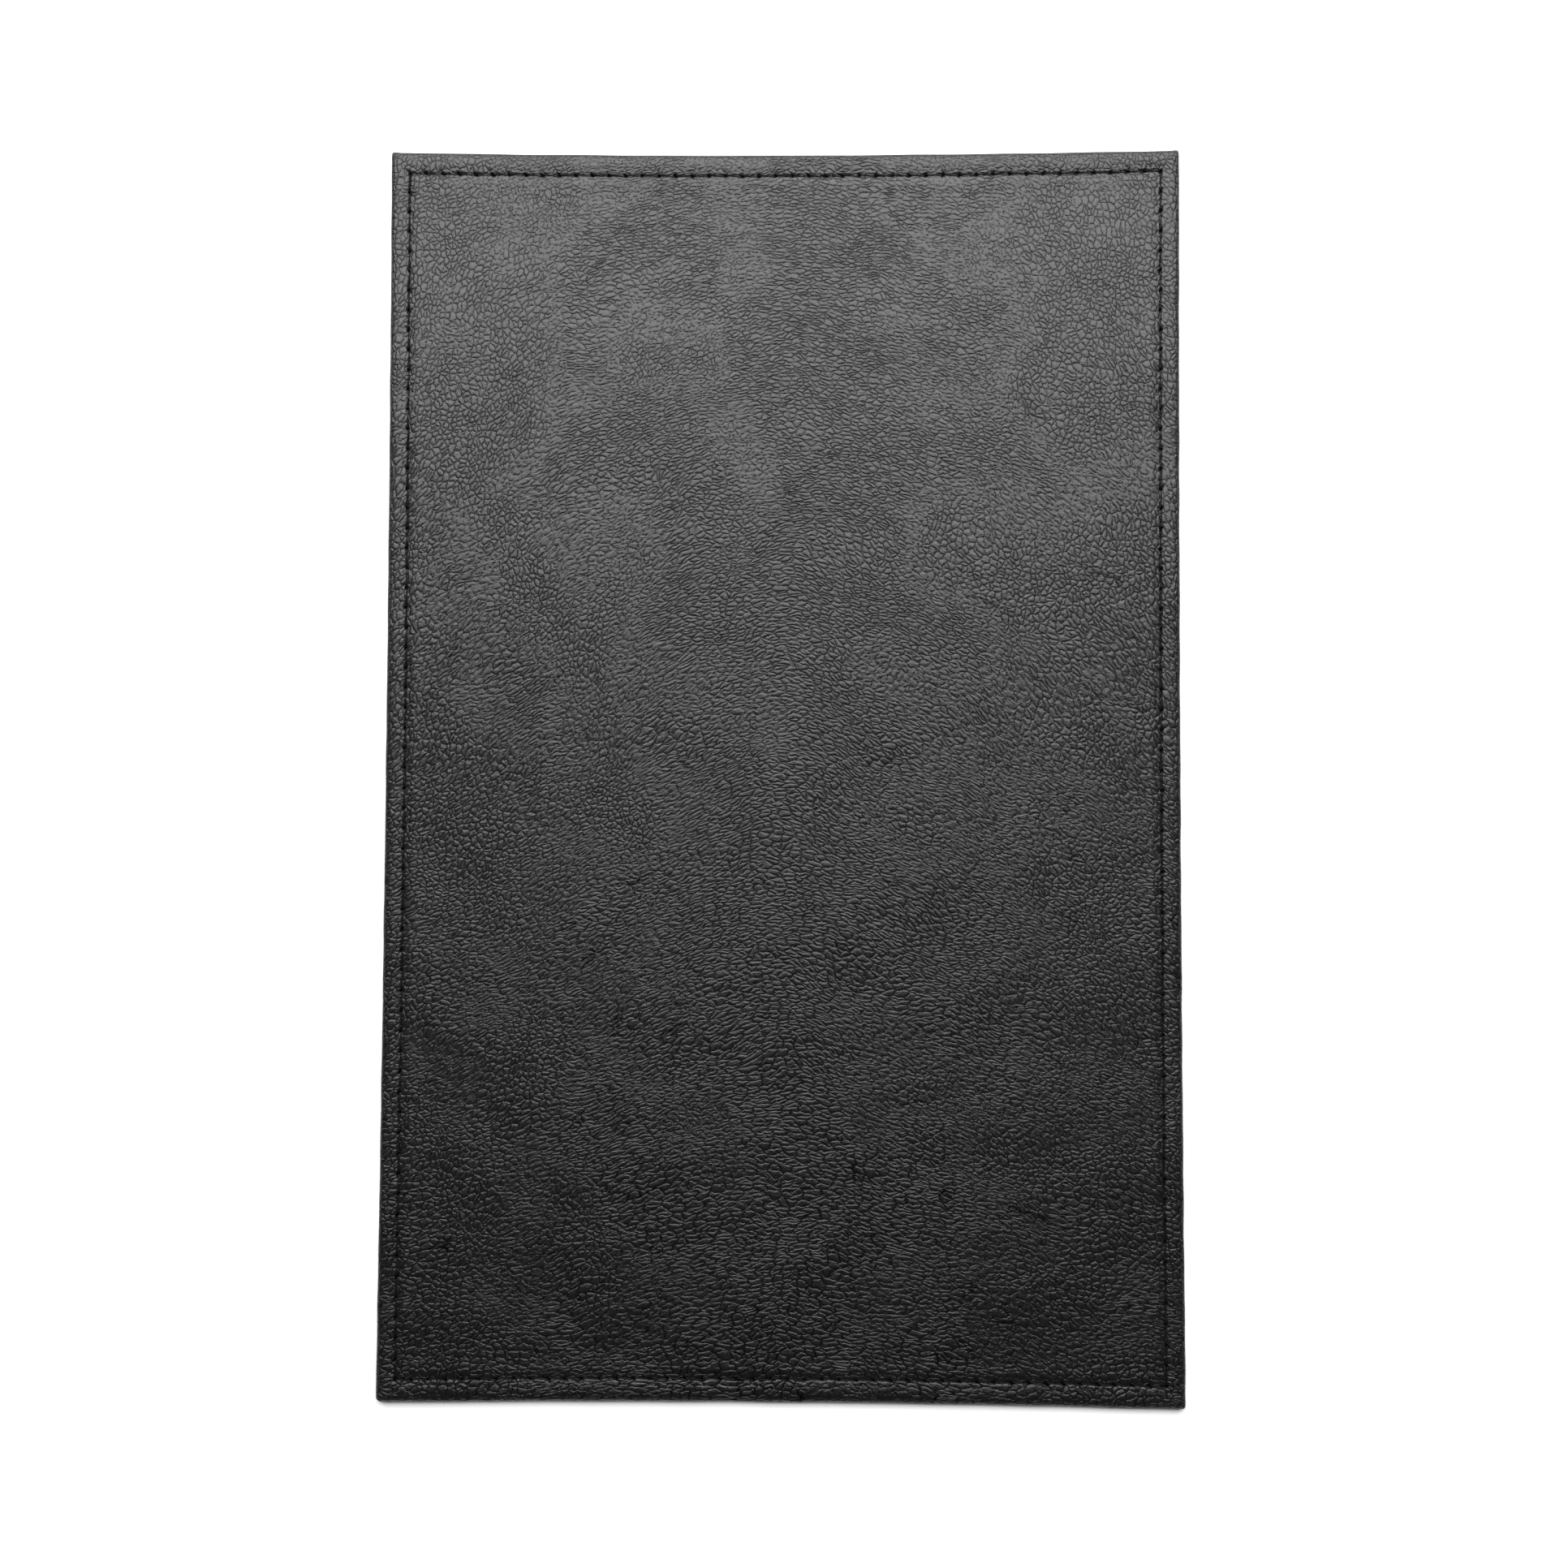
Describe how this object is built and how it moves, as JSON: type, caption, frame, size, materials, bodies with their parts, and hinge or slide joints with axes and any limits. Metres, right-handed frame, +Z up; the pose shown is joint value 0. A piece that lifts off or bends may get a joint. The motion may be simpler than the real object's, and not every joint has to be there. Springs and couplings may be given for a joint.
{
  "type": "desk mat",
  "caption": "Flat rectangular desk mat with a pebble-grained turned-edge cover, a perimeter lockstitch seam, padding, a stiffening board and a non-slip backing.",
  "frame": {"origin": "the middle of the mat's outline, at the level of the desk it lies on", "axes": "+Z up out of the working face, +Y along the mat's length towards its far short edge, +X to the right"},
  "size_m": [0.28, 0.44, 0.0037],
  "materials": {
    "cover": "pebble-grained black leatherette, semi-matte",
    "padding": "fine closed-cell foam sheet",
    "board": "grey-brown pressed board",
    "tape": "adhesive tissue tape",
    "backing": "napped non-slip suede-like sheet",
    "thread": "twisted black polyester thread"
  },
  "bodies": {
    "root": {"top_cover": "cover", "padding_foam": "padding", "stiffener_board": "board", "hem_tape_front": "tape", "hem_tape_back": "tape", "hem_tape_left": "tape", "hem_tape_right": "tape", "backing_sheet": "backing", "needle_thread": "thread", "bobbin_thread": "thread"}
  },
  "joints": []
}
